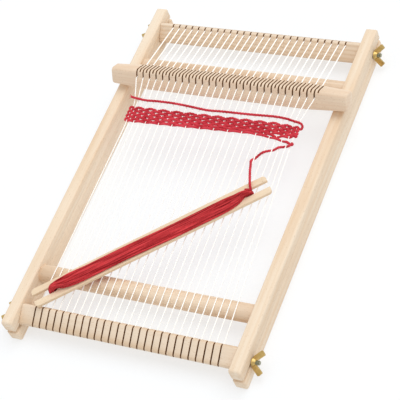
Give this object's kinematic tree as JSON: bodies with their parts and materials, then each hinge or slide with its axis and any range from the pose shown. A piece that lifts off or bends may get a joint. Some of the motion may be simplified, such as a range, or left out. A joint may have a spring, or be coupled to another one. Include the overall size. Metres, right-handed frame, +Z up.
{
  "type": "weaving frame",
  "caption": "Table weaving frame with slotted wooden beams between two rails, wing nuts, a strung cotton warp, a turning heddle bar, begun red cloth and a notched stick shuttle wound with yarn.",
  "frame": {"origin": "On the table under the middle of the frame.", "axes": "+X to the right along the beams, +Y to the far beam behind the heddle bar, +Z up."},
  "size_m": [0.2716, 0.4, 0.0549],
  "materials": {
    "pale_beech": "fine sanded pale beech, bare or thinly waxed, fine grain along the length",
    "heddle_beech": "slightly darker sanded beech with fine flecks and crisp saw cuts",
    "stick_beech": "thin sanded beech strip, matt, warm yellow",
    "nut_brass": "stamped brass, slightly dulled",
    "zinc_steel": "threaded zinc plated steel with a faint yellow green cast",
    "warp_cotton": "white twisted cotton thread",
    "red_yarn": "soft plied red wool yarn, matt"
  },
  "bodies": {
    "frame": {"left_rail": "pale_beech", "right_rail": "pale_beech", "near_dowel": "pale_beech", "far_dowel": "pale_beech", "warp_thread_01": "warp_cotton", "warp_thread_02": "warp_cotton", "warp_thread_03": "warp_cotton", "warp_thread_04": "warp_cotton", "warp_thread_05": "warp_cotton", "warp_thread_06": "warp_cotton", "warp_thread_07": "warp_cotton", "warp_thread_08": "warp_cotton", "warp_thread_09": "warp_cotton", "warp_thread_10": "warp_cotton", "warp_thread_11": "warp_cotton", "warp_thread_12": "warp_cotton", "warp_thread_13": "warp_cotton", "warp_thread_14": "warp_cotton", "warp_thread_15": "warp_cotton", "warp_thread_16": "warp_cotton", "warp_thread_17": "warp_cotton", "warp_thread_18": "warp_cotton", "warp_thread_19": "warp_cotton", "warp_thread_20": "warp_cotton", "warp_thread_21": "warp_cotton", "warp_thread_22": "warp_cotton", "warp_thread_23": "warp_cotton", "warp_thread_24": "warp_cotton", "warp_thread_25": "warp_cotton", "warp_thread_26": "warp_cotton", "warp_thread_27": "warp_cotton", "woven_band": "red_yarn", "loose_yarn": "red_yarn", "tail_yarn": "red_yarn"},
    "near_beam": {"near_beam": "pale_beech", "near_left_bolt": "zinc_steel", "near_right_bolt": "zinc_steel"},
    "far_beam": {"far_beam": "pale_beech", "far_left_bolt": "zinc_steel", "far_right_bolt": "zinc_steel"},
    "heddle": {"heddle_bar": "heddle_beech"},
    "near_left_nut": {"near_left_wing_nut": "nut_brass"},
    "near_right_nut": {"near_right_wing_nut": "nut_brass"},
    "far_left_nut": {"far_left_wing_nut": "nut_brass"},
    "far_right_nut": {"far_right_wing_nut": "nut_brass"},
    "shuttle": {"shuttle": "stick_beech", "winding": "red_yarn"}
  },
  "joints": [
    {"name": "near_beam_turn", "type": "hinge", "parent": "frame", "child": "near_beam", "pos_m": [0, -0.17875, 0.015], "axis": [1, 0, 0], "continuous": true, "deforming": ["warp_thread_01", "warp_thread_02", "warp_thread_03", "warp_thread_04", "warp_thread_05", "warp_thread_06", "warp_thread_07", "warp_thread_08", "warp_thread_09", "warp_thread_10", "warp_thread_11", "warp_thread_12", "warp_thread_13", "warp_thread_14", "warp_thread_15", "warp_thread_16", "warp_thread_17", "warp_thread_18", "warp_thread_19", "warp_thread_20", "warp_thread_21", "warp_thread_22", "warp_thread_23", "warp_thread_24", "warp_thread_25", "warp_thread_26", "warp_thread_27"]},
    {"name": "far_beam_turn", "type": "hinge", "parent": "frame", "child": "far_beam", "pos_m": [0, 0.17875, 0.015], "axis": [1, 0, 0], "continuous": true, "deforming": ["warp_thread_01", "warp_thread_02", "warp_thread_03", "warp_thread_04", "warp_thread_05", "warp_thread_06", "warp_thread_07", "warp_thread_08", "warp_thread_09", "warp_thread_10", "warp_thread_11", "warp_thread_12", "warp_thread_13", "warp_thread_14", "warp_thread_15", "warp_thread_16", "warp_thread_17", "warp_thread_18", "warp_thread_19", "warp_thread_20", "warp_thread_21", "warp_thread_22", "warp_thread_23", "warp_thread_24", "warp_thread_25", "warp_thread_26", "warp_thread_27"]},
    {"name": "heddle_turn", "type": "hinge", "parent": "frame", "child": "heddle", "pos_m": [0.0023, 0.09755, 0.04206], "axis": [1, 0, 0], "range_deg": [0, 60], "deforming": ["warp_thread_01", "warp_thread_02", "warp_thread_03", "warp_thread_04", "warp_thread_05", "warp_thread_06", "warp_thread_07", "warp_thread_08", "warp_thread_09", "warp_thread_10", "warp_thread_11", "warp_thread_12", "warp_thread_13", "warp_thread_14", "warp_thread_15", "warp_thread_16", "warp_thread_17", "warp_thread_18", "warp_thread_19", "warp_thread_20", "warp_thread_21", "warp_thread_22", "warp_thread_23", "warp_thread_24", "warp_thread_25", "warp_thread_26", "warp_thread_27"]},
    {"name": "near_left_nut_spin", "type": "hinge", "parent": "near_beam", "child": "near_left_nut", "pos_m": [-0.1253, -0.17875, 0.015], "axis": [-1, 0, 0], "continuous": true},
    {"name": "near_right_nut_spin", "type": "hinge", "parent": "near_beam", "child": "near_right_nut", "pos_m": [0.1253, -0.17875, 0.015], "axis": [1, 0, 0], "continuous": true},
    {"name": "far_left_nut_spin", "type": "hinge", "parent": "far_beam", "child": "far_left_nut", "pos_m": [-0.1253, 0.17875, 0.015], "axis": [-1, 0, 0], "continuous": true},
    {"name": "far_right_nut_spin", "type": "hinge", "parent": "far_beam", "child": "far_right_nut", "pos_m": [0.1253, 0.17875, 0.015], "axis": [1, 0, 0], "continuous": true},
    {"name": "shuttle_lift", "type": "slide", "parent": "frame", "child": "shuttle", "axis": [0, 0, 1], "range_m": [0, 0.1], "deforming": ["tail_yarn"]}
  ]
}
